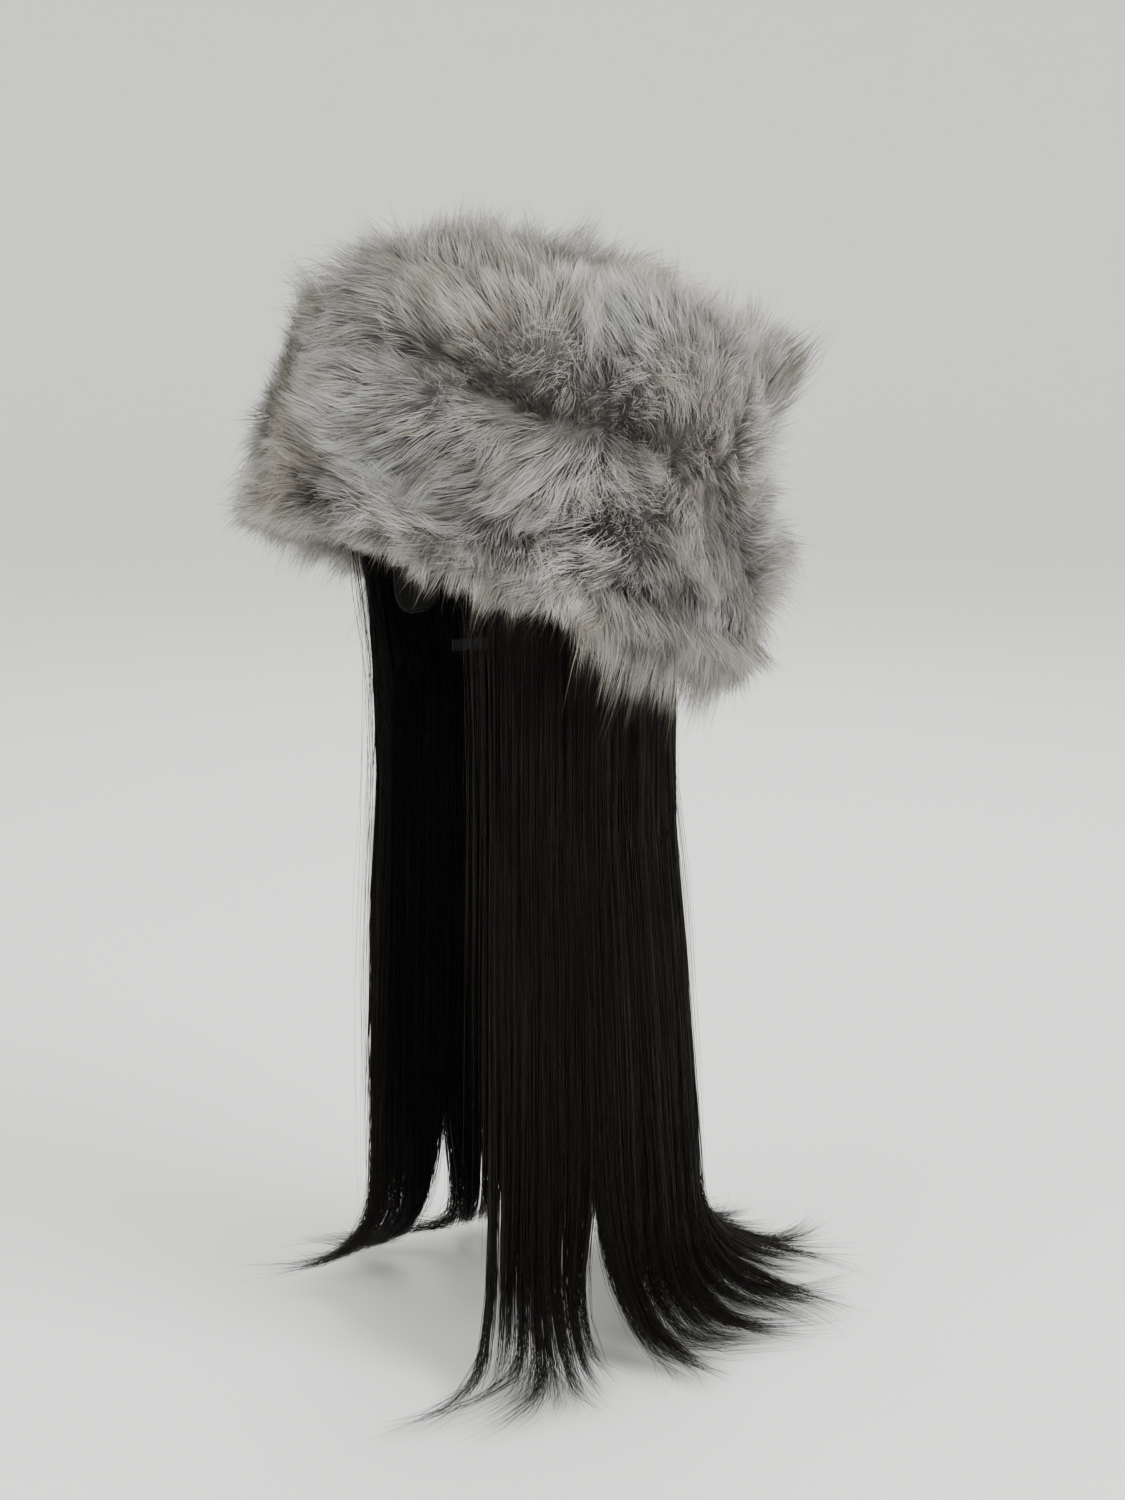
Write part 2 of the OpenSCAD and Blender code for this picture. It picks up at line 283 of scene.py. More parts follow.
def hair_material():
    """Near-black fibre: tone runs across the texture square and the fibre's length runs up it."""
    m = Material("straight_fibre", 0.42, 0.15)
    across, along = m.texture_square()
    tone = m.ramp(across, (0, (0.0022, 0.0017, 0.0014)), (0.55, (0.0044, 0.0032, 0.0024)),
                  (0.85, (0.011, 0.0074, 0.005)), (1, (0.024, 0.015, 0.0095)))
    tip = m.ramp(along, (0, (0.75, 0.75, 0.75)), (0.5, (1, 1, 1)), (1, (1.35, 1.25, 1.15)))
    return m.coloured(m.mix("MULTIPLY", 1, tone, tip))


def fur_material():
    """Grey pile in four hues stacked up the texture square; the guard hair has dark tips."""
    m = Material("grey_pile", 0.58, 0.22, 0.08)
    m.shader["Sheen Roughness"].default_value = 0.45
    across, up = m.texture_square()
    place = m.math("MULTIPLY", up, float(HUES))
    along = m.math("FRACT", place)
    which = m.math("DIVIDE", m.math("FLOOR", place), float(HUES))
    length = m.ramp(along, (0, (0.105, 0.096, 0.088)), (0.3, (0.2, 0.19, 0.178)), (0.6, (0.37, 0.36, 0.348)),
                    (0.85, (0.55, 0.54, 0.525)), (1, (0.68, 0.67, 0.65)))
    guard = m.ramp(along, (0, (0.12, 0.11, 0.1)), (0.45, (0.34, 0.33, 0.31)), (0.7, (0.25, 0.235, 0.195)),
                   (1, (0.08, 0.07, 0.048)))
    both = m.mix("MIX", m.math("GREATER_THAN", which, 0.7), length, guard)
    hue = m.ramp(which, (0, (1, 0.99, 0.955)), (0.2, (1, 0.96, 0.86)), (0.45, (0.98, 0.99, 1)),
                 (0.7, (1, 0.98, 0.91)))
    hue.node.color_ramp.interpolation = "CONSTANT"
    tone = m.ramp(across, (0, (0.26, 0.245, 0.225)), (0.5, (0.92, 0.92, 0.92)), (1, (1.5, 1.5, 1.5)))
    return m.coloured(m.mix("MULTIPLY", 1, m.mix("MULTIPLY", 1, both, hue), tone))


def cloth_material(name, dark, light, scale, roughness, sheen=0.2, bump=0.3, kind="fuzz"):
    """A cloth whose colour and height follow a weave, ribs or a fuzzy noise over a slow variation."""
    m = Material(name, roughness, 0.3, sheen)
    if kind == "fuzz":
        fine = m.noise(scale, 6)
    else:
        bands = [m.node("TexWave", {0: m.place(), "Scale": scale, "Distortion": 0.4}, bands_direction=axis)
                 for axis in (("Z", "X") if kind == "weave" else "Z")]
        fine = m.math("MULTIPLY", *bands) if kind == "weave" else bands[0]
    both = m.math("ADD", m.math("MULTIPLY", fine, 0.6), m.math("MULTIPLY", m.noise(35, 4), 0.4))
    normal = m.node("Bump", {"Strength": bump, "Distance": 0.0004, "Height": fine})
    m.tree.links.new(normal, m.shader["Normal"])
    return m.coloured(m.ramp(both, (0.15, dark), (0.85, light)))


def mottled_material(name, roughness, metallic, scale, detail, *stops):
    """A smooth hard surface with a slight mottle."""
    m = Material(name, roughness, metallic=metallic)
    return m.coloured(m.ramp(m.noise(scale, detail), *stops))


def floor_material():
    m = Material("pale_floor", 0.7, 0.2)
    m.shader["Base Color"].default_value = (0.88, 0.875, 0.855, 1)
    return m.made


# ---- Fur

def hat_wall_top(offset):
    return (HAT_HEIGHT + offset) * SHOULDER


def hat_surface(bearing, rise, offset):
    """Points of the hat, their normals and the angle up the dome.

    rise is the height on the wall, and then 1 mm for each mm of arc over the dome.
    """
    wall = hat_wall_top(offset)
    r = HAT_INSIDE + offset
    h = HAT_HEIGHT + offset - wall
    a = clip((rise - wall) / (0.5 * (r + h)), 0, math.pi / 2)
    ring = r * cos(a)
    p = turned(bearing, ring, HAT_STRETCH * ring, where(rise < wall, rise, wall + h * sin(a)))
    b = radians(bearing)
    n = [sin(b) * cos(a) / r, cos(b) * cos(a) / (r * HAT_STRETCH), sin(a) / h]
    return p, unit(stack(n, axis=-1)), a


def hat_frame_at(bearing, rise, offset):
    """hat_surface with two directions along the surface: round the hat, and up it."""
    p, n, a = hat_surface(bearing, rise, offset)
    b = radians(bearing)
    side = stacked(cos(b), -HAT_STRETCH * sin(b), 0 * b)
    side = unit(side - n * (side * n).sum(-1, keepdims=True))
    up = -unit(np.cross(n, side))
    return p, n, side, where(up[..., 2:3] < 0, -up, up), a


def hump(x, x_middle, x_reach, y, y_middle, y_reach):
    """A soft round hill over x and y, 1 at its middle."""
    return exp(-((x - x_middle) / x_reach) ** 2 - ((y - y_middle) / y_reach) ** 2)


def pinch(bearing, rise):
    """Where the pile is drawn in at the back, below the corner tuft."""
    return hump(bearing, 36, 34, rise, 108, 22)


def crease_rise(bearing):
    """Height of the long fold between band and crown, which wanders as it goes round."""
    return 88 + 7 * sin(radians(2 * bearing - 170)) + 4 * sin(radians(5 * bearing))


MM_PER_DEGREE = 1.95
# Short folds and pockets in the pile: bearing, rise, reach along and across in mm, depth
FOLDS = [(90, 82, 15, 12, 1), (69, 84, 12, 16, 0.7), (126, 94, 34, 9, 0.9),
         (110, 29, 26, 5, 0.55), (152, 96, 20, 9, 0.7), (-70, 60, 20, 11, 0.8),
         (-120, 98, 30, 9, 0.9), (-20, 72, 24, 10, 0.8), (25, 40, 14, 10, 0.6),
         (-165, 50, 16, 9, 0.5), (128, 176, 22, 10, 0.5), (-60, 150, 26, 10, 0.6)]


def folded(bearing, rise):
    """How deep a point lies in a fold, 0 to 1."""
    crease = exp(-((rise - crease_rise(bearing)) / 10) ** 2) * (1 - smooth(abs(bearing), 145, 165))
    return clip(0.5 * crease + spots(FOLDS, bearing, rise), 0, 1)


# Tufts in front of the folds that catch the light: bearing, rise, reach along and across in mm, strength
BRIGHT = [(110, 67, 8, 8, 0.6), (104, 10, 15, 9, 0.42), (112, 20, 24, 5, 0.34),
          (140, 70, 26, 10, 0.14), (118, 128, 30, 14, 0.14), (84, 110, 18, 14, 0.12),
          (-100, 60, 20, 10, 0.22), (-40, 95, 18, 12, 0.2), (0, 60, 18, 12, 0.18)]


def spots(places, bearing, rise):
    """The sum of soft spots at the given places on the hat."""
    total = np.zeros_like(rise)
    for at, height, along, across, strength in places:
        off = (bearing - at + 180) % 360 - 180
        total = total + strength * hump(off * MM_PER_DEGREE, 0, along, rise, height, across)
    return total


def hang(bearing):
    """How far the fringe hangs below the rim: longest behind the ears, least over the forehead."""
    turn = abs(bearing)
    return (8.5 + 8.5 * (1 - smooth(turn, 120, 160)) + 20 * (1 - smooth(turn, 92, 102))
            - 20 * (1 - smooth(turn, 25, 58)))


def root_height(bearing, rise, p):
    """How far the pile's roots stand out from the fabric: puffs, folds, a fuller front and a pinched back."""
    front = smooth(abs(bearing), 120, 165) * smooth(rise, 10, 60) * (1 - smooth(rise, 150, 195))
    sides = hump(abs(bearing), 88, 34, rise, 140, 32)
    corner = hump(bearing, 40, 26, rise, 158, 18)
    return (9 + 4.5 * PUFF(p) - 16 * folded(bearing, rise) + 12 * front - 10 * pinch(bearing, rise)
            - 7 * smooth(rise, 190, 228) + 9 * sides + 6 * corner)


def top_rise(offset):
    wall = hat_wall_top(offset)
    return wall + 0.5 * (HAT_INSIDE + HAT_HEIGHT + 2 * offset - wall) * math.pi / 2


def scatter_on_hat(count, seed):
    """Evenly scattered (bearing, rise) pairs over the hat's fabric."""
    rng = np.random.default_rng(seed)
    got = []
    while sum(len(g[0]) for g in got) < count:
        bearing = rng.uniform(-180, 180, count * 2)
        rise = rng.uniform(2, top_rise(BACKING), count * 2)
        a = hat_surface(bearing, rise, BACKING)[2]
        b = radians(bearing)
        around = np.hypot(cos(b), HAT_STRETCH * sin(b)) / HAT_STRETCH
        keep = rng.uniform(size=len(bearing)) < cos(a) * around
        got.append((bearing[keep], rise[keep]))
    return tuple(concatenate(g)[:count] for g in zip(*got))


# Slow fields over the hat: which way the pile turns, its patches of tone, and its puffs
SWIRL = [waves(seed, size) for seed, size in ((11, 80.0), (12, 80.0), (13, 34.0), (14, 34.0))]
PATCH = [waves(21, 60.0), waves(22, 26.0), waves(23, 110.0)]
PUFF = waves(24, 105.0)

# The pointed tuft at the back corner: its bearing, its angle up the dome, and that angle's rise
CORNER_BEARING, CORNER_ARC = 33.0, 0.7
ROOT_LINE = BACKING + 6.0
ROOT_WALL = hat_wall_top(ROOT_LINE)
CORNER_CLIMB = CORNER_ARC * 0.5 * (HAT_INSIDE + HAT_HEIGHT + 2 * ROOT_LINE - ROOT_WALL)

# A fibre of the fur: how thick it is at each of its points, and where they lie along it
TAPER = array([0.7, 1.0, 0.72, 0.0])
T = linspace(0, 1, len(TAPER))[None, :, None]


def corner_share(bearing, a):
    return hump(bearing, CORNER_BEARING, 13, a, CORNER_ARC, 0.17)


def guide_curves(bearing, rise, seed, spread, length_jitter):
    """Roots and curves of the pile in the hat's frame, with how deep each stands in a fold."""
    rng = np.random.default_rng(seed)
    p, n, side, up, a = hat_frame_at(bearing, rise, ROOT_LINE)
    deep = folded(bearing, rise)
    fold_up = (folded(bearing, rise + 4) - folded(bearing, rise - 4)) * 1.4
    fold_side = (folded(bearing + 2.5, rise) - folded(bearing - 2.5, rise)) * 1.1
    crease = crease_rise(bearing)
    above = smooth(rise, crease - 10, crease + 14)
    to_front = sign(bearing) * smooth(abs(bearing), 35, 90)
    near_rim = 1 - smooth(rise, 0, 40)
    drop = (hang(bearing) - 7) / 30
    front = smooth(abs(bearing), 140, 180)
    lift = (1 - above) * (-0.22 - 1.15 * near_rim * drop + 0.3 * front)
    lift = lift + above * (-0.05 + 0.55 * smooth(a, 0.35, 0.9) - 0.35 * smooth(a, 0.9, 1.4))
    lift = lift + 0.46 * SWIRL[0](p) + 0.26 * SWIRL[2](p) + 0.3 * fold_up
    turn = 0.62 * to_front * (1 - 0.6 * smooth(a, 0.7, 1.3)) * (1 - 0.5 * near_rim)
    turn = turn + 0.42 * SWIRL[1](p) + 0.26 * SWIRL[3](p) + 0.3 * fold_side
    corner = corner_share(bearing, a)
    lift = lift * (1 - corner) + 0.15 * corner
    turn = turn * (1 - corner)
    lean = side * turn[:, None] + up * lift[:, None]
    over = smooth(a, 0.8, 1.15)[:, None]
    combed = array([-0.25, 0.5, 0]) + stacked(0.3 * SWIRL[1](p), 0.3 * SWIRL[0](p), 0 * a)
    lean = lean * (1 - over) + (combed - n * (combed * n).sum(-1, keepdims=True)) * over
    stray = rng.normal(size=p.shape) * spread
    first = unit(n * 1.1 + lean * 0.45 + stray * 0.6)
    last = unit(n * 0.42 + lean * 1.15 + stray + array([0, 0, -0.06]))
    length = 39 * (1 + length_jitter * rng.normal(size=len(p)))
    length *= (1 + 0.1 * PATCH[0](p)) * (1 - 0.38 * deep) * (1 + 0.7 * corner)
    length *= 1 - 0.3 * pinch(bearing, rise)
    root = p + n * (root_height(bearing, rise, p) - 6)[:, None]
    way = first[:, None] * (T - 0.55 * T * T) + last[:, None] * 0.55 * T * T
    curve = root[:, None] + length[:, None, None] * way
    top, out, _ = hat_surface(CORNER_BEARING, ROOT_WALL + CORNER_CLIMB, ROOT_LINE)
    tip = top + out * 55 - DOWN * 9
    return p, curve + (tip - curve) * (corner ** 1.1)[:, None, None] * 0.85 * T ** 1.6, deep


def nearest(roots, guide_roots):
    tree = KDTree(len(guide_roots))
    for i, r in enumerate(guide_roots):
        tree.insert(r, i)
    tree.balance()
    return array([tree.find(r)[1] for r in roots])


def pulled(curve, roots, guides, guide_roots, near, amount, keep_shape, power):
    """Draws each curve towards its guide, more towards the tip, so that fibres gather in tufts."""
    target = guides[near] + (roots - guide_roots[near])[:, None] * keep_shape
    return curve + (target - curve) * np.reshape(amount, (-1, 1, 1)) * T ** power


def lengthened(curve, hue, rng, low, high):
    """Makes the guard hairs longer than the rest."""
    longer = where(hue == GUARD, rng.uniform(low, high, len(hue)), 1)
    return curve[:, :1] + (curve - curve[:, :1]) * longer[:, None, None]


def pile(count, seed):
    """Fibre paths over the hat, with a tone and a hue for each. Fibres gather in tufts of two sizes."""
    rng = np.random.default_rng(seed)
    large_root, large, _ = guide_curves(*scatter_on_hat(480, seed + 1), seed + 2, 0.26, 0.1)
    mid_root, mid, _ = guide_curves(*scatter_on_hat(4000, seed + 3), seed + 4, 0.3, 0.19)
    mid = pulled(mid, mid_root, large, large_root, nearest(mid_root, large_root), 0.55, 0.6, 1.3)
    b, r = scatter_on_hat(count, seed + 5)
    root, curve, deep = guide_curves(b, r, seed + 6, 0.17, 0.13)
    near = nearest(root, mid_root)
    curve = pulled(curve, root, mid, mid_root, near, rng.uniform(0.25, 0.95, count), 0.22, 1.6)
    tuft = np.random.default_rng(seed + 7).normal(size=len(mid_root))[near]
    tone = 0.54 + 0.12 * PATCH[0](root) + 0.1 * PATCH[1](root) + 0.075 * tuft
    # Painted shade: fibres rooted in folds and creases are made darker the deeper they lie in the fold. Painted
    # highlights: the tufts listed in BRIGHT are made lighter.
    tone = tone + rng.normal(size=count) * 0.06 - 0.5 * deep + spots(BRIGHT, b, r)
    warm = PATCH[2](root) + 0.6 * rng.normal(size=count)
    hue = where(warm > 0.7, OLIVE, where(warm < -0.5, BLUE_GREY, NEUTRAL))
    outline = smooth(r, 110, 165) + smooth(abs(b), 135, 170) + 0.6 * smooth(-b, -60, -35)
    dark_share = 0.08 + 0.26 * clip(outline, 0, 1)
    dark_tuft = np.random.default_rng(seed + 8).uniform(size=len(mid_root))[near] < dark_share
    hue = where(dark_tuft & (rng.uniform(size=count) < 0.6), GUARD, hue)
    curve = lengthened(curve, hue, rng, 1, 1.32)
    peak = corner_share(b, (r - ROOT_WALL) * CORNER_ARC / CORNER_CLIMB)
    hue = where((peak > 0.3) & (rng.uniform(size=count) < 0.8), GUARD, hue)
    return b, r, curve, tone - 0.15 * peak, hue


# The pile is built in pieces: name, CAD node, lowest and highest rise, first bearing and reach in degrees
BAND_TOP = 112.0
BAND_SIDES = ("back", "left", "left", "front", "front", "right", "right", "back")
PIECES = [(f"band_{i + 1}", f"fur_{side}", 0, BAND_TOP, 45 * i, 45) for i, side in enumerate(BAND_SIDES)]
PIECES += [(f"crown_{i + 1}", "fur_crown", BAND_TOP, math.inf, 60 * i, 60) for i in range(6)]


def fur_piece(name, node, curve, width, tone, mat, seed, hue):
    piece(strands(name, curve, width, 0.6, tone, mat, seed, hue), "hat", "fur", node)


def build_fur(mat):
    b, r, curve, tone, hue = pile(92000, 100)
    curve = from_hat(curve)
    curve[..., 1] = -eased(-curve[..., 1], 152, 22)
    curve[..., 2] = eased(curve[..., 2], 196, 17)
    width = TAPER[None] * 0.19 * np.random.default_rng(7).uniform(0.7, 1.3, (len(b), 1))
    for i, (name, node, low, high, left, reach) in enumerate(PIECES):
        at = (r > low) & (r <= high) & ((b - left) % 360 < reach)
        fur_piece(f"pile_{name}", node, curve[at], width[at], tone[at], mat, 300 + i, hue[at])


def build_fringe(mat):
    """The pile that hangs from the hat's lower edge."""
    count, tufts = 11500, 230
    rng = np.random.default_rng(500)
    tuft_b = np.sort(rng.uniform(-180, 180, tufts))
    b = rng.uniform(-180, 180, count)
    near = clip(np.searchsorted(tuft_b, b), 0, tufts - 1)

    def edge_curve(bearing, seed, jitter):
        g = np.random.default_rng(seed)
        p, n, side, _, _ = hat_frame_at(bearing, np.full(len(bearing), 1.0), BACKING)
        inward = g.uniform(0, 19, len(bearing))
        high = g.uniform(0, 13, len(bearing))
        p = p + n * inward[:, None] - DOWN * high[:, None]
        down = hang(bearing) * (1.12 + 0.3 * g.normal(size=len(bearing)) * jitter) + high
        forward = smooth(abs(bearing), 110, 165)
        out = (9 + 12 * forward) * (1 + 0.4 * g.normal(size=len(bearing)) * jitter)
        turn = 7 * SWIRL[3](p) + 6 * g.normal(size=len(bearing)) * jitter + sign(bearing) * 6 * forward
        fall = DOWN * down[:, None]
        away = n * out[:, None] + side * turn[:, None]
        curve = away[:, None] * (1.7 * T - 0.7 * T * T) + fall[:, None] * (0.45 * T + 0.55 * T * T)
        return p, p[:, None] + curve

    guide_root, guide = edge_curve(tuft_b, 501, 1)
    root, curve = edge_curve(b, 502, 0.5)
    curve = pulled(curve, root, guide, guide_root, near, rng.uniform(0.15, 0.92, count), 0.3, 1.5)
    tone = 0.5 + 0.14 * PATCH[1](root) + 0.08 * PATCH[2](root) + rng.normal(size=count) * 0.14
    pick = rng.uniform(size=count)
    hue = where(pick < 0.15, OLIVE, where(pick > 0.86, GUARD, NEUTRAL))
    curve = lengthened(curve, hue, rng, 1.05, 1.5)
    width = TAPER[None] * 0.19 * rng.uniform(0.75, 1.3, (count, 1))
    fur_piece("pile_fringe", "fur_rim", from_hat(curve), width, tone, mat, 510, hue)


def build_fringe_under(mat):
    """The shorter pile round the underside of the rim, between the binding and the fringe."""
    rng = np.random.default_rng(520)
    count = 12000
    b = rng.uniform(-180, 180, count)
    p, n, side, _, _ = hat_frame_at(b, np.full(count, 1.0), BACKING)
    out = rng.uniform(0.3, 24, count)
    root = p + n * out[:, None] - DOWN * (1 + 0.55 * out)[:, None]
    length = (11 + 0.42 * (hang(b) - 7) + 0.35 * out) * rng.uniform(0.7, 1.25, count)
    swirl = 0.5 * SWIRL[2](p) + 0.5 * SWIRL[3](p)
    way = DOWN + n * (0.3 + 0.03 * out + 0.28 * rng.normal(size=count))[:, None]
    way = unit(way + side * (0.45 * swirl + 0.28 * rng.normal(size=count))[:, None])
    curve = root[:, None] + length[:, None, None] * (way[:, None] * T + n[:, None] * (0.22 * T * T))
    # Painted shade: the pile under the rim is given a lower tone than the fringe and the pile above it.
    tone = 0.36 + 0.13 * PATCH[1](root) + rng.normal(size=count) * 0.12
    hue = where(rng.uniform(size=count) < 0.2, OLIVE, NEUTRAL)
    width = TAPER[None] * 0.2 * rng.uniform(0.75, 1.3, (count, 1))
    fur_piece("pile_fringe_under", "fur_rim", from_hat(curve), width, tone, mat, 521, hue)


def build_underpile(mat):
    """The dense short pile that closes the space between the long fibres' roots."""
    b, r = around_grid(40, 120, 1, top_rise(BACKING) * 0.985)
    p, n, _ = hat_surface(b, r, BACKING + 1.6)
    high = np.maximum(root_height(b, r, p) + 6 + 1.5 * PATCH[1](p), 1)
    high = high * (0.12 + 0.88 * smooth(r, 0, 22))
    piece(shell("pile_undercoat", from_hat(p + n * high[..., None]), from_hat(p), mat), "hat", "fur")


# ---- Hair

def lower_share(z):
    return 1 - 0.14 * (z / 70) ** 2


def curtain_inside(z, lean, spread):
    down = clip((-z - LEAN_FROM) / (DROP - LEAN_FROM), 0, 1) ** 1.2
    ends = clip((-z - DROP + SPREAD_HEIGHT) / SPREAD_HEIGHT, 0, 1) ** 2.2
    return HAIR_IN * lower_share(np.maximum(z, -NAPE)) + lean * down + spread * ends


def curtain_thickness(z):
    grow = HAIR_DEPTH + (CURTAIN_DEPTH - HAIR_DEPTH) * clip((-z - 80) / 120, 0, 1)
    thin = 1 - 0.6 * clip((-z - 200) / (DROP - 200), 0, 1) ** 2
    return grow * thin


def over_crown(bearing, r, rng):
    """Points of each fibre from the parting over the crown, down to the plane of the brow."""
    n = len(bearing)
    part_y = 20 - 104 * smooth(abs(bearing), 62, FRONT_BEARING + 4) + rng.normal(size=n) * 2
    part_x = sign(bearing) * rng.uniform(0.15, 1.3, n)
    start = stacked(part_x / r, part_y / (r * STRETCH), np.zeros(n))
    behind = 1 - smooth(abs(bearing), 20, 60)
    start[:, 0] += behind * sin(radians(bearing)) * rng.uniform(0, 0.1, n)
    start[:, 1] += behind * rng.uniform(0, 0.22, n)
    start[:, 2] = np.sqrt(1 - start[:, 0] ** 2 - start[:, 1] ** 2)
    end = turned(bearing, 1, 1, 0)
    angle = np.arccos(clip((start * end).sum(-1), -1, 1))[:, None]
    t = linspace(0, 1, 16, endpoint=False)[None]
    first, last = sin((1 - t) * angle) / sin(angle), sin(t * angle) / sin(angle)
    dome = stacked(r, r * STRETCH, HEAD_TOP + r - HEAD_HALF_WIDTH)
    return (start[:, None] * first[..., None] + end[:, None] * last[..., None]) * dome[:, None]


def down_curtain(bearing, layer, r, reach):
    """Radii and heights down the curtain, and how far each point has run along the surface below."""
    lean = 25 - 11 * smooth(abs(bearing), 80, 100)
    spread = 88 - 47 * smooth(abs(bearing), 15, 50) + 17 * smooth(abs(bearing), 80, 108)
    steps = 64
    step = (DROP + reach) / steps
    floor = -DROP + 1 + 7 * layer
    z = np.zeros(len(bearing))
    landed = z
    trail = [(r, z, landed)]
    for _ in range(steps):
        ahead = z - 1
        slope = (curtain_inside(ahead, lean, spread) + curtain_thickness(ahead) * layer
                 - curtain_inside(z, lean, spread) - curtain_thickness(z) * layer)
        slope = slope * (1 - 0.5 * smooth(-z, DROP - 30, DROP))
        near = smooth(-z, -floor - 22, -floor)
        dz, dr = near - 1, slope * (1 - near) + near
        size = np.hypot(dz, dr * 1.15)
        z = np.maximum(z + dz / size * step, floor)
        r = r + dr / size * step
        landed = landed + step * near
        trail.append((r, z, landed))
    return (stack(v, axis=1) for v in zip(*trail))


def in_locks(bearing, layer, radii, heights, landed, rng, lock_count, free_share):
    """The curtain's points with neighbours gathered in small locks, small locks in large ones, and a gap at
    each shoulder. Free fibres, a free_share of them all, stay out of the locks."""
    n = len(bearing)
    edge = FRONT_BEARING + 1
    lock_at = np.sort(rng.uniform(-edge, edge, lock_count))
    large_at = np.sort(rng.uniform(-edge, edge, lock_count // 7))
    lock = clip(np.searchsorted(lock_at, bearing + rng.normal(size=n) * 0.8), 0, lock_count - 1)
    large = clip(np.searchsorted(large_at, lock_at), 0, len(large_at) - 1)
    lock_layer = rng.uniform(0.1, 1, lock_count)[lock]
    lock_turn = (rng.normal(size=lock_count) * 0.45 + rng.normal(size=len(large_at))[large] * 0.8)[lock]
    lock_reach = (rng.normal(size=lock_count) * 0.8 + rng.normal(size=len(large_at))[large] * 0.5)[lock, None]
    centre = (lock_at + (large_at[large] - lock_at) * 0.17)[lock]
    free = rng.uniform(size=n) < free_share
    grip = where(free, 0, rng.uniform(0.1, 0.92, n))
    gather = smooth(-heights, 110, DROP - 10) ** 1.1 * grip[:, None]
    along = bearing[:, None] + (centre - bearing)[:, None] * gather
    below = smooth(-heights, 230, DROP)
    along = along + lock_turn[:, None] * 1.3 * below ** 1.5
    along = along + (rng.normal(size=n) * where(free, 1.1, 0.6))[:, None] * below ** 2
    along = along + (landed * (lock_turn * 0.42 + rng.normal(size=n) * 0.06)[:, None]) * 57.3 / 120
    shoulder = 88.5 * sign(bearing)[:, None]
    gap = smooth(-heights, 335, 440) * exp(-((along - shoulder) / 9) ** 2) * 6.5
    along = along + sign(bearing[:, None] - shoulder) * gap
    wave = sin(heights / 95 + rng.uniform(0, 6.3, n)[:, None])
    along = along + wave * 0.35 * smooth(-heights, 60, 260)
    drift = (lock_layer - layer)[:, None] * gather * 5 + lock_reach * 2.2 * below
    radii = radii + drift + (rng.normal(size=n) * where(free, 2.6, 1.1))[:, None] * below
    points = turned(along, radii, radii * STRETCH, heights)
    points[..., 0] = sign(points[..., 0]) * eased(abs(points[..., 0]), 150, 18)
    points[..., 1] = eased(points[..., 1], 222, 29)
    points[..., 2] += landed * 0.05 * abs(lock_reach)
    return points


def hair_paths(bearing, layer, reach, seed, lock_count, at, free_share=0.09):
    """Fibres from the parting over the crown, down behind or beside the face, and out where their ends land.

    at says where each fibre's points lie along it, from 0 to 1.
    """
    rng = np.random.default_rng(seed)
    r = HAIR_IN + HAIR_DEPTH * layer
    over = over_crown(bearing, r, rng)
    uneven = waves(seed + 5, 9)(stacked(bearing, layer * 3, 0 * bearing))
    gaps = waves(seed + 6, 3.2)(stacked(bearing, layer * 0.8, 0 * bearing))
    reach = reach + 24 * uneven - 10 - 150 * smooth(gaps, 0.1, 0.7) * smooth(abs(bearing), 86, 104)
    down = in_locks(bearing, layer, *down_curtain(bearing, layer, r, reach), rng, lock_count, free_share)
    full = concatenate([over, down], axis=1)
    s = np.cumsum(np.linalg.norm(np.diff(full, axis=1, prepend=full[:, :1]), axis=-1), axis=1)
    s = s / s[:, -1:]
    return array([[np.interp(at, s_one, path[:, axis]) for axis in range(3)]
                     for s_one, path in zip(s, full)]).transpose(0, 2, 1)


# The hair's pieces on the left, from the front edge to the nape: name, bearings, fibres, CAD nodes
LEFT_HAIR = [("{}_front", 110.5, 123, 1700, ("hair_temple_{}", "hair_front_{}")),
             ("{}_temple", 98, 110.5, 1600, ("hair_temple_{}", "hair_front_{}")),
             ("{}_side", 78, 98, 2500, ("hair_side_{}",)),
             ("{}_back", 52, 78, 2200, ("hair_back_{}", "hair_crown_{}")),
             ("{}_behind", 26, 52, 2100, ("hair_back_{}", "hair_crown_{}")),
             ("nape_{}", 0, 26, 2000, ("hair_nape",))]
HAIR_GROUPS = [(name, lo, hi, n, nodes, "left") for name, lo, hi, n, nodes in LEFT_HAIR]
HAIR_GROUPS += [(name, -hi, -lo, n, nodes, "right") for name, lo, hi, n, nodes in reversed(LEFT_HAIR)]
# Where a fibre's points lie along it: close together over the crown and where the ends bend
ALONG = array([0.0, 0.045, 0.09, 0.14, 0.19, 0.24, 0.3, 0.5, 0.7, 0.8, 0.86, 0.91, 0.955, 1.0])
THICKNESS = array([0.7, 1.0, 1.0, 1.0, 1.0, 1.0, 1.0, 0.97, 0.92, 0.85, 0.74, 0.58, 0.36, 0.0])


def hair_piece(name, paths, width, tone, mat, seed, *nodes):
    piece(strands(name, paths, width, 0.7, clip(tone, 0.02, 0.97), mat, seed), "wig", "hair", *nodes)


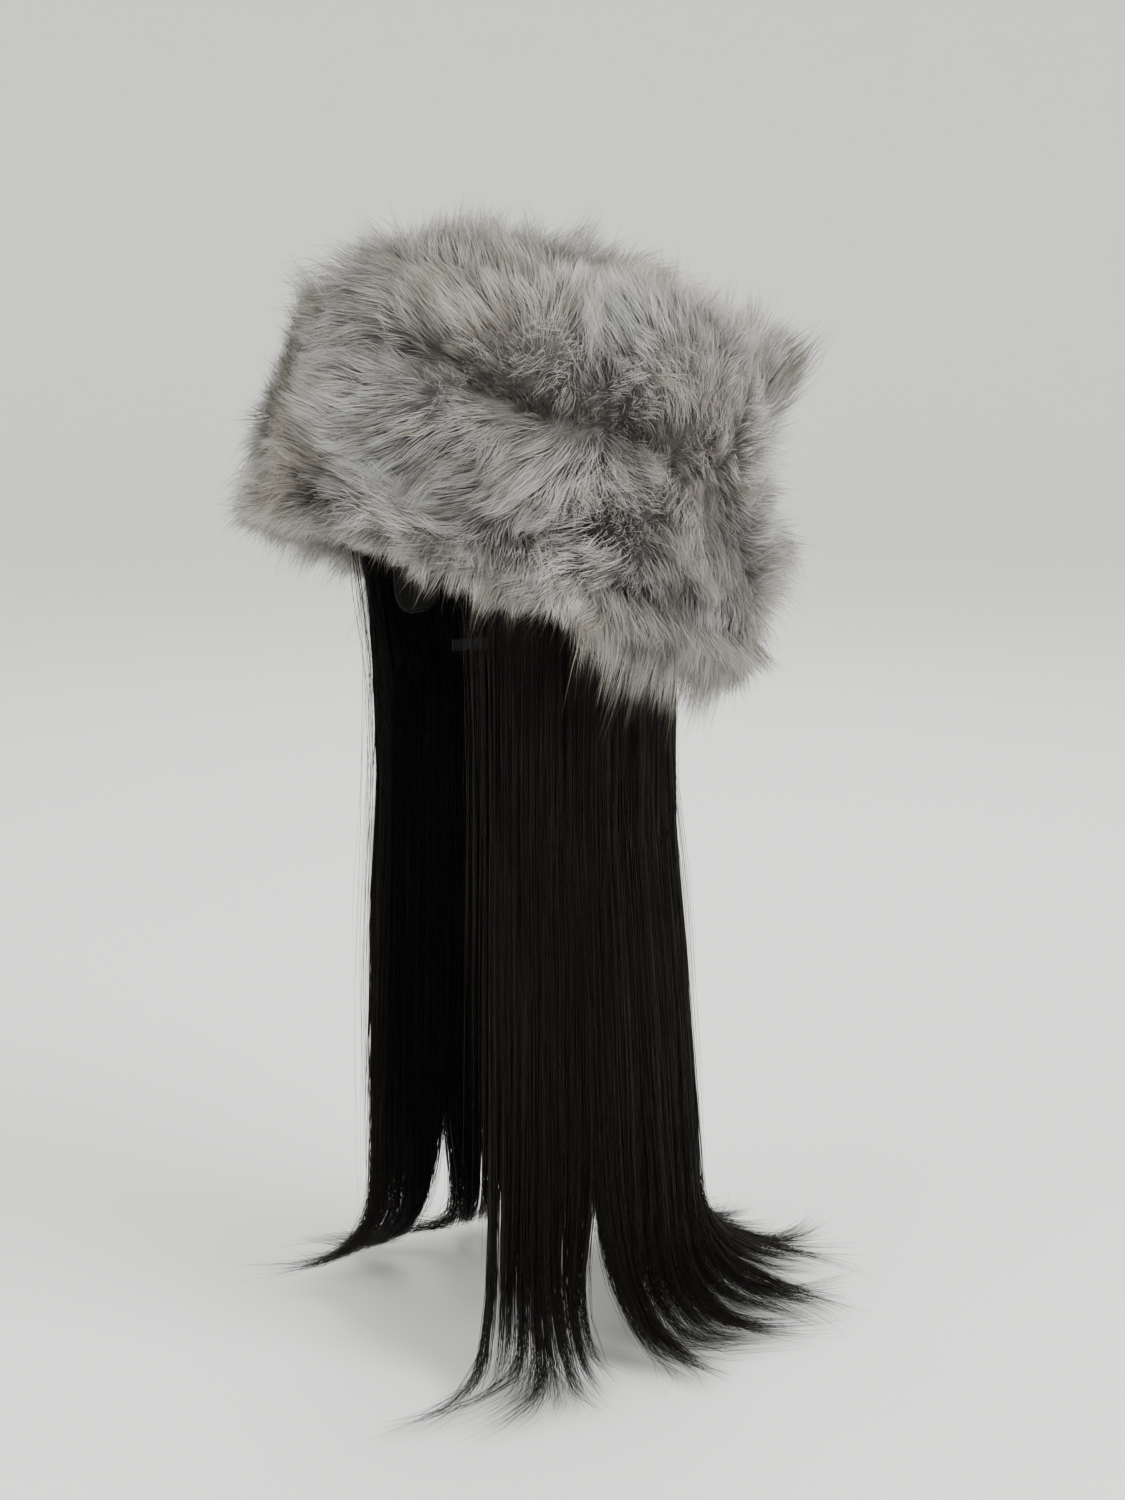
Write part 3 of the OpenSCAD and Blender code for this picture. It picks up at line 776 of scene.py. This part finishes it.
def build_hair(mat):
    rng = np.random.default_rng(40)
    bearing = concatenate([rng.uniform(lo, hi, n) for _, lo, hi, n, _, _ in HAIR_GROUPS])
    count = len(bearing)
    layer = rng.uniform(0, 1, count) ** 0.8
    back = 1 - smooth(abs(bearing), 55, 95)
    shortest, longest = -110 + 50 * back, 62 - 8 * back
    reach = shortest + (longest - shortest) * rng.uniform(0, 1, count) ** 0.6
    thinned = rng.uniform(size=count) < 0.35 * (1 - back)
    reach = where(thinned, reach - rng.uniform(20, 200, count), reach)
    paths = hair_paths(bearing, layer, reach, 41, 640, ALONG)
    width = THICKNESS[None] * 0.27 * rng.uniform(0.6, 1.25, (count, 1))
    tone = 0.42 + 0.17 * rng.normal(size=count)
    first = 0
    for i, (name, _, _, n, nodes, side) in enumerate(HAIR_GROUPS):
        own = slice(first, first + n)
        first += n
        hair_piece(f"hair_{name}_locks".format(side), paths[own], width[own], tone[own], mat, 60 + i,
                   *[node.format(side) for node in nodes])


def build_hair_bed(mat):
    """Flat, wide bundles close to the wefts, which close the hair over the crown."""
    rng = np.random.default_rng(45)
    count = 3200
    bearing = rng.uniform(-FRONT_BEARING, FRONT_BEARING, count)
    at = linspace(0, 0.4, 10)
    paths = hair_paths(bearing, rng.uniform(0.02, 0.2, count), np.full(count, -40.0), 46, 200, at, 1.0)
    width = np.interp(arange(10), (0, 1, 6, 7, 8, 9), (0.8, 1, 1, 0.9, 0.7, 0))
    width = width[None] * rng.uniform(0.5, 0.9, (count, 1))
    hair_piece("hair_bed_locks", paths, width, 0.3 + 0.15 * rng.normal(size=count), mat, 90)


def build_flyaways(mat):
    """Single loose fibres ahead of the front edges and outside the curtains."""
    rng = np.random.default_rng(47)
    count = 260
    front = rng.uniform(size=count) < 0.45
    bearing = where(front, rng.uniform(119, 131, count), rng.uniform(0, 122, count))
    bearing = bearing * rng.choice([-1, 1], count)
    layer = where(front, rng.uniform(0.1, 1.3, count), rng.uniform(1, 1.5, count))
    paths = hair_paths(bearing, layer, rng.uniform(-300, -10, count), 48, 200, ALONG, 1)
    width = THICKNESS[None] * rng.uniform(0.11, 0.17, (count, 1))
    hair_piece("hair_flyaway_fibres", paths, width, 0.5 + 0.2 * rng.normal(size=count), mat, 91)


# ---- Sewn pieces

NET_IN = 73.2
RIBBON = NET_IN - 0.6
WEFT_IN = 74.25
FACE_EDGE = (-54.0, -6.0)
FACE_SLOPE = math.radians(58.0)


def on_head(r, bearing, z):
    """A point of the dome or the neck surface whose half width at the brow plane is r."""
    top = HEAD_TOP + r - HEAD_HALF_WIDTH
    share = where(z >= 0, np.sqrt(clip(1 - (z / top) ** 2, 0, 1)), lower_share(z))
    return turned(bearing, r * share, r * share * STRETCH, z)


def on_hat_wall(offset, bearing, z):
    r = HAT_INSIDE + offset
    return from_hat(turned(bearing, r, r * HAT_STRETCH, z))


def in_face_space(p, margin):
    y, z = p[..., 1] - FACE_EDGE[0], p[..., 2] - FACE_EDGE[1] - margin
    c, k = math.cos(FACE_SLOPE), math.sin(FACE_SLOPE)
    return (y * c - z * k < 0) & (y * k + z * c < 0)


def band_mesh(name, outer, inner, mat, closed=False):
    """A closed strip between two grids of points (along, across, 3)."""
    n, k, _ = outer.shape
    grid = arange(n * k).reshape(n, k)
    a, b = (grid, roll(grid, -1, axis=0)) if closed else (grid[:-1], grid[1:])
    top = quads_between(a, b)
    low, high = n * k + a[:, 0], n * k + a[:, -1]
    sides = [stack([a[:, 0], low, n * k + b[:, 0], b[:, 0]], axis=-1),
             stack([a[:, -1], b[:, -1], n * k + b[:, -1], high], axis=-1)]
    if not closed:
        for row, flip in ((grid[0], False), (grid[-1], True)):
            q = stack([row[:-1], row[1:], n * k + row[1:], n * k + row[:-1]], axis=-1)
            sides.append(q[:, ::-1] if flip else q)
    return mesh_object(name, stack([outer, inner]), [top, top[:, ::-1] + n * k] + sides, mat)


def tubes(name, paths, radius, mat, sides=5):
    """Round threads along paths (count, points, 3), with closed ends."""
    n, k, _ = paths.shape
    tangent = unit(np.gradient(paths, axis=1))
    ref = where(abs(tangent[:, :1, 2:3]) > 0.8, [1, 0, 0], [0, 0, 1])
    side = unit(np.cross(tangent, ref))
    up = np.cross(tangent, side)
    verts = np.empty((n, k, sides, 3))
    for j in range(sides):
        a = 2 * math.pi * j / sides
        verts[:, :, j] = paths + (side * math.cos(a) + up * math.sin(a)) * radius
    ends = [[sides - 1 - j for j in range(sides)], [sides * (k - 1) + j for j in range(sides)]]
    faces = [for_each(f, n, k * sides) for f in (side_quads(k, sides), ends)]
    return mesh_object(name, verts, faces, mat)


def running_stitch(line, pitch=3.4, share=0.66, points=4):
    """Short dashes along a line of points."""
    step = np.linalg.norm(np.diff(line, axis=0), axis=-1)
    s = concatenate([[0], np.cumsum(step)])
    count = max(1, int(s[-1] / pitch))
    at = ((arange(count) + 0.17)[:, None] + linspace(0, share, points)[None]) * (s[-1] / count)
    return stack([np.interp(at, s, line[:, i]) for i in range(3)], axis=-1)


def soft_band(name, at, bearings, heights, mat, thick, across=9, along=240, ribs=0, upright=0, closed=False):
    """A ribbon whose faces lie thick apart, thinner at its edges, with ribs along it or across it.

    at(offset, bearing, height) gives a point at an offset out from the ribbon's middle.
    """
    b = linspace(*bearings, along, endpoint=not closed)[:, None].repeat(across, 1)
    h = linspace(*heights, across)[None].repeat(along, 0)
    v = linspace(-1, 1, across)[None]
    half = thick / 2 * (0.35 + 0.65 * (1 - v ** 6)) * np.ones_like(b)
    if upright:
        half = half * (1 - 0.16 * (1 + sin(b / (bearings[1] - bearings[0]) * 2 * math.pi * upright)))
    if ribs:
        half = half * (1 - 0.2 * (1 + cos(v * math.pi * ribs)))
    return band_mesh(name, at(half, b, h), at(-half, b, h), mat, closed)


def forehead(offset, bearing, margin):
    """Points inside the cap's front edge, margin above the edge of the face opening, found by halving."""
    lo, hi = np.zeros_like(bearing), np.full_like(bearing, HEAD_TOP - 2)
    for _ in range(40):
        mid = (lo + hi) / 2
        y = on_head(RIBBON, bearing, mid)[..., 1]
        above = mid > FACE_EDGE[1] + margin - (y - FACE_EDGE[0]) * math.tan(FACE_SLOPE)
        lo, hi = where(above, lo, mid), where(above, mid, hi)
    return on_head(RIBBON + offset, bearing, np.maximum(lo, 0.5))


def on_ribbon(offset, bearing, z):
    return on_head(RIBBON + offset, bearing, z)


def build_net(mat):
    """Six-sided cells all over the crown and down the nape: the edges between a fine ball's faces."""
    bm = bmesh.new()
    bmesh.ops.create_icosphere(bm, subdivisions=6, radius=1)
    u = unit(array([[f.calc_center_median()[:] for f in e.link_faces] for e in bm.edges]))
    bm.free()
    r = NET_IN + 0.4
    z = u[..., 2] * where(u[..., 2] > 0, HEAD_TOP + r - HEAD_HALF_WIDTH, 95)
    bearing = np.degrees(np.arctan2(u[..., 0], u[..., 1]))
    cells = on_head(r, bearing, z)
    keep = ((z > 0) & ~in_face_space(cells, 4)) | ((z <= 0) & (z > -NAPE) & (abs(bearing) < 74))
    ob = tubes("cap_net_cells", cells[keep.all(axis=1)], 0.17, mat, 3)
    piece(ob, "wig", "cap_net", "cap_crown_net", "cap_nape_panel")


def build_cap(mats):
    build_net(mats["cap_net"])
    velvet = mats["cap_velvet"]
    front, nape = (FRONT_BEARING + 1, 359 - FRONT_BEARING), 73.5
    ob = soft_band("forehead_ribbon", forehead, front, (4.4, 19.6), velvet, 0.8, along=160)
    piece(ob, "wig", "cap_velvet", "cap_front_band")
    ob = soft_band("nape_ribbon", on_ribbon, (-nape, nape), (-NAPE + 0.3, -NAPE + 10.7), velvet, 0.8)
    piece(ob, "wig", "cap_velvet", "cap_nape_band")
    dashes = []
    rows = (forehead, front, (6.4, 17.6)), (on_ribbon, (1 - nape, nape - 1), (-60.2, -52.8))
    for at, ends, heights in rows:
        line = linspace(*ends, 200)
        dashes += [running_stitch(at(-0.45, line, np.full(200, h))) for h in heights]

    for side, name in ((1, "left"), (-1, "right")):
        def tab(offset, b, h):
            narrow = np.sqrt(clip(1 - (clip(-h, 0, 36) / 36.2) ** 7, 0, 1))
            return on_ribbon(offset, side * (105 + (b - 105) * narrow), h)

        ob = soft_band(f"ear_tab_{name}_velvet", tab, (94.2, 115.8), (-35.8, -0.3), velvet, 1.1, 24, 24)
        piece(ob, "wig", "cap_velvet", f"ear_tab_{name}")
        run = arange(121)
        h = np.interp(run, (0, 1, 40, 41, 81, 120), (-1, -1, -33.5, -33.5, -33.5, -1))
        b = np.interp(run, (0, 40, 41, 80, 81, 120), (96, 96, 96, 114, 114, 114))
        dashes.append(running_stitch(tab(-0.6, b, h)))
    piece(tubes("cap_stitches", concatenate(dashes), 0.16, mats["thread"], 4), "wig", "cap_velvet")


def build_wefts(mats):
    """Each weft is three cords with a zigzag thread sewn over them; the hair folded round them is not drawn here.
    """
    tape, thread = mats["weft_tape"], mats["thread"]
    rows = [(f"weft_row_{i + 1}", 4 + 15 * i, 118) for i in range(6)]
    rows += [(f"weft_row_nape_{i}", -18 * i, 74 - 8 * i) for i in (1, 2)]
    for node, z, half in rows:
        b = linspace(-half + 0.5, half - 0.5, 150)
        cords = stack([on_head(WEFT_IN + 0.65, b, np.full(150, z + h)) for h in (0.65, 2.0, 3.35)])
        piece(tubes(f"{node}_cords", cords, 0.6, tape), "wig", "weft_tape", node)
        b = linspace(-half + 0.5, half - 0.5, 421)
        wave = np.tile([0.4, 3.6], 211)[:421]
        zigzag = stack([on_head(WEFT_IN + 0.12, b, z + wave), on_head(WEFT_IN + 1.2, b, z + 4 - wave)])
        piece(tubes(f"{node}_zigzag", zigzag, 0.11, thread, 3), "wig", "weft_tape")


def build_parting(skin):
    """The skin-coloured patch under the parting, with rounded corners."""
    half_x, half_y, middle = 16.6, 45.5, -20
    x, y = np.meshgrid(linspace(-half_x, half_x, 24), linspace(-half_y, half_y, 48))
    corner = clip((abs(x) / half_x) ** 8 + (abs(y) / half_y) ** 8, 0, 2)
    squeeze = where(corner > 1, corner ** -0.125, 1)
    x, y = x * squeeze, y * squeeze + middle

    def at(r):
        z = (HEAD_TOP + r - HEAD_HALF_WIDTH) * np.sqrt(1 - (x / r) ** 2 - (y / (r * STRETCH)) ** 2)
        return stacked(x, y, z)

    ob = band_mesh("parting_silk", at(WEFT_IN + 0.85), at(WEFT_IN + 0.05), skin)
    piece(ob, "wig", "parting_skin", "parting_patch")


def build_straps(elastic):
    """The two elastics, and the row of loops at the nape that their hooks go into."""
    radius = NET_IN * lower_share(-NAPE)
    z = -NAPE + 2
    circle = radius / STRETCH
    centre = radius * STRETCH - circle

    def loop(offset, bearing, height):
        bow = 0.5 * sin(linspace(0, math.pi, bearing.shape[0]))[:, None]
        r = circle - 1.8 + offset - bow * 0.4
        return turned(bearing, r, r, height) + [0, centre, 0]

    for side, name in ((1, "left"), (-1, "right")):
        def strap(offset, bearing, height):
            r = radius - 3 + offset
            return turned(bearing, side * r, r * STRETCH, height)

        ob = soft_band(f"strap_{name}_elastic", strap, (31.7, 91.8), (z, z + 7), elastic, 0.78, 33, 160, 8)
        piece(ob, "wig", "elastic", f"strap_{name}")
    for i in range(5):
        ends = (i - 2) * 9 - 2.4, (i - 2) * 9 + 2.4
        ob = soft_band(f"strap_loop_{i + 1}", loop, ends, (z - 0.5, z + 7.5), elastic, 0.76, 25, 12, 6)
        piece(ob, "wig", "elastic", *(["strap_loops"] if i == 0 else []))


def build_lining(mat, top):
    """Six satin gores with sunk seams, gathered a little above the sweatband; gives the seams' stitches."""
    gore = 360 / 6
    b, h = around_grid(60, 360, 4.2, top * 0.992)
    seam = abs(((b + 30) % gore) - gore / 2) / (gore / 2)
    p, n, _ = hat_surface(b, h, 0)
    sunk = exp(-((1 - seam) / 0.06) ** 2) * 0.5
    gather = 0.45 * sin(radians(b) * 84 + 2 * sin(radians(b) * 7)) * (1 - smooth(h, 30, 95))
    inside = clip(0.55 + gather * 0.5 + 0.25 * waves(61, 22)(p) + sunk, 0.05, 1)
    ob = shell("satin_lining", from_hat(p + n * 1.15), from_hat(p + n * inside[..., None]), mat)
    piece(ob, "hat", "lining", "hat_lining")
    rise = linspace(34, top * 0.97, 200)
    dashes = []
    for at in -180 + gore * arange(6):
        for off in (-1.2, 1.2):
            q, m, _ = hat_surface(at + off * (1 - rise / top), rise, 0)
            dashes.append(running_stitch(from_hat(q + m * 0.3), 4.2))
    return dashes


def build_wadding(mat, top):
    """A pad quilted in diamonds."""
    b, h = around_grid(48, 240, 4.4, top * 0.99)
    p, n, _ = hat_surface(b, h, 1.3)
    quilt = abs(sin(radians(b) * 9 + h / 14) * sin(radians(b) * 9 - h / 14))[..., None]
    pad = shell("quilted_wadding", from_hat(p + n * (2.7 + 1 * quilt ** 0.5)), from_hat(p + n * 0.1), mat)
    piece(pad, "hat", "wadding", "hat_wadding")


def build_binding(mat):
    """The satin binding rolled round the rim, slightly puckered."""
    around, sides = 900, 14
    b = linspace(-180, 180, around, endpoint=False)[:, None]
    a = linspace(0, 2 * math.pi, sides, endpoint=False)[None]
    pucker = 0.13 * sin(radians(b) * 190 + 1.2 * sin(a)) * abs(cos(a))
    x = 3.5 + 3.4 * sign(cos(a)) * abs(cos(a)) ** 0.6 + 0 * b
    z = 1.9 + (1.9 + pucker) * sign(sin(a)) * abs(sin(a)) ** 0.8
    grid = arange(around * sides).reshape(around, sides)
    nxt, turn = roll(grid, -1, axis=0), roll(grid, -1, axis=1)
    quads = stack([turn, roll(nxt, -1, axis=1), nxt, grid], axis=-1).reshape(-1, 4)
    ob = mesh_object("rim_binding_roll", on_hat_wall(x, b + 0 * a, z), [quads], mat)
    piece(ob, "hat", "lining", "hat_rim_binding")


def build_hat_inside(mats):
    top = top_rise(0)
    dashes = build_lining(mats["lining"], top)
    build_wadding(mats["wadding"], top)

    # the sweatband, joined at the back
    ribbon, slot = mats["sweatband"], "sweatband"
    ob = soft_band("grosgrain_sweatband", lambda offset, b, h: on_hat_wall(-0.6 + offset, b, h), (-180, 180),
                   (1.1, 30.9), ribbon, 1.1, 9, 1500, upright=375, closed=True)
    piece(ob, "hat", slot, "hat_sweatband")
    ob = soft_band("sweatband_join", lambda offset, b, h: on_hat_wall(-1.5 + offset, b, h), (-4, 4),
                   (1.4, 30.6), ribbon, 0.6, 9, 60, upright=16)
    piece(ob, "hat", slot)
    build_binding(mats["lining"])
    line, up = linspace(-180, 180, 400), linspace(2.5, 29.5, 40)
    dashes += [running_stitch(on_hat_wall(-1.25, line, np.full(400, h)), 4.0) for h in (3.2, 28.8)]
    dashes += [running_stitch(on_hat_wall(-1.85, np.full(40, b), up), 3.0) for b in (-3.4, 3.4)]
    piece(tubes("hat_stitches", concatenate(dashes), 0.2, mats["thread_grey"], 4), "hat", "lining")


BLACK = (0.003, 0.003, 0.003)
# For each material slot: name, dark, light, scale, roughness, and then sheen, bump and kind where they differ
CLOTHS = {
    "cap_net": ("stretch_net", BLACK, (0.02, 0.018, 0.017), 900, 0.7),
    "cap_velvet": ("velvet", BLACK, (0.022, 0.019, 0.019), 1500, 0.85, 0.15),
    "weft_tape": ("weft_tape", BLACK, (0.028, 0.022, 0.018), 650, 0.6, 0.2, 0.3, "weave"),
    "parting_skin": ("parting_skin", (0.42, 0.25, 0.17), (0.66, 0.43, 0.31), 1300, 0.55),
    "elastic": ("elastic", BLACK, (0.026, 0.026, 0.028), 700, 0.7, 0.2, 0.3, "ribs"),
    "fur_backing": ("knit_backing", (0.1, 0.09, 0.08), (0.26, 0.24, 0.22), 420, 0.85, 0.2, 0.3, "weave"),
    "wadding": ("wadding", (0.6, 0.59, 0.55), (0.86, 0.85, 0.82), 260, 0.9, 0.3),
    "lining": ("satin", (0.1, 0.1, 0.108), (0.2, 0.2, 0.215), 1100, 0.32, 0.1, 0.12, "ribs"),
    "sweatband": ("grosgrain", (0.008, 0.008, 0.009), (0.045, 0.043, 0.045), 900, 0.65, 0.2, 0.3, "ribs"),
    "thread": ("dark_thread", (0.006, 0.005, 0.005), (0.05, 0.045, 0.04), 2200, 0.6),
    "thread_grey": ("grey_thread", (0.16, 0.16, 0.165), (0.34, 0.34, 0.35), 2200, 0.55),
    "pile_base": ("pile_base", (0.05, 0.045, 0.04), (0.15, 0.14, 0.13), 420, 0.9, 0.4),
}


def build_materials():
    """Materials of the sewn, moulded and metal pieces; the CAD nodes that stay in view take theirs here."""
    mats = {slot: cloth_material(*row) for slot, row in CLOTHS.items()}
    mats["comb_plastic"] = mottled_material("comb_plastic", 0.22, 0, 140, 5, (0.35, (0.02, 0.009, 0.005)),
                                            (0.65, (0.11, 0.045, 0.018)))
    mats["steel"] = mottled_material("sheet_steel", 0.34, 1, 900, 2, (0.3, (0.42, 0.43, 0.45)),
                                     (0.7, (0.62, 0.63, 0.65)))
    for entry in frame["record"]["subparts"]:
        if entry["material_slot"] in mats:
            for s in frame["nodes"][entry["node"]].material_slots:
                s.material = mats[entry["material_slot"]]
    return mats


def build_stage():
    """A pale floor that curves up into a round wall well away from the model, the same from every side."""
    flat, bend, high, around = 4.6, 1.6, 6, 128  # metres, and steps round
    curve = linspace(0, math.pi / 2, 24)
    radius = concatenate([linspace(0.05, flat, 12)[:-1], flat + bend * sin(curve), [flat + bend]])
    height = concatenate([np.zeros(11), bend * (1 - cos(curve)), [high]]) - DROP * MM
    turn = linspace(0, 2 * math.pi, around, endpoint=False)[:, None]
    verts = stacked(radius * cos(turn), radius * sin(turn), height + 0 * turn)
    grid = arange(verts.shape[0] * verts.shape[1]).reshape(verts.shape[:2])
    quads = quads_between(grid, roll(grid, -1, axis=0))[:, ::-1]
    mesh_object("floor", verts / MM, [quads, grid[None, :, 0]], floor_material())


def add_light(name, at, size, power):
    """A round soft light at a point, turned to the middle of the model."""
    target = (0, 0, -0.1)
    data = bpy.data.lights.new(name, "AREA")
    data.shape, data.size, data.energy = "DISK", size, power
    ob = linked(name, data)
    ob.location = at
    ob.rotation_euler = (Vector(target) - Vector(at)).to_track_quat("-Z", "Y").to_euler()


def build_lights():
    world = bpy.data.worlds.new("studio")
    bpy.context.scene.world = world
    world.use_nodes = True
    background = world.node_tree.nodes["Background"]
    background.inputs["Color"].default_value = (0.86, 0.87, 0.87, 1)
    background.inputs["Strength"].default_value = 1.5
    add_light("key", (1.9, 0.9, 1.7), 1.4, 72)
    add_light("fill", (0.4, -2, 0.9), 1.8, 27)
    add_light("rim", (-1.6, 1.2, 1.5), 1.4, 22)


def build_camera():
    """The photo's view: from the wearer's left, ahead of the model and a little above it."""
    distance, height, shift = 1.474, 0.185, 0.03
    a, e = math.radians(57.6), math.radians(11.3)
    toward_camera = Vector((math.sin(a), -math.cos(a), 0))
    right = Vector((math.cos(a), math.sin(a), 0))
    data = bpy.data.cameras.new("camera")
    data.lens, data.sensor_width = 62.4, 36
    ob = linked("camera", data)
    ob.location = toward_camera * distance + right * shift + Vector((0, 0, height))
    look = -toward_camera * math.cos(e) - Vector((0, 0, math.sin(e)))
    ob.rotation_euler = look.to_track_quat("-Z", "Y").to_euler()
    bpy.context.scene.camera = ob


build_camera()
build_lights()
build_stage()
materials = build_materials()
build_cap(materials)
build_wefts(materials)
build_parting(materials["parting_skin"])
build_straps(materials["elastic"])
build_hat_inside(materials)
fur = fur_material()
build_underpile(materials["pile_base"])
build_fur(fur)
build_fringe(fur)
build_fringe_under(fur)
hair = hair_material()
build_hair(hair)
build_hair_bed(hair)
build_flyaways(hair)
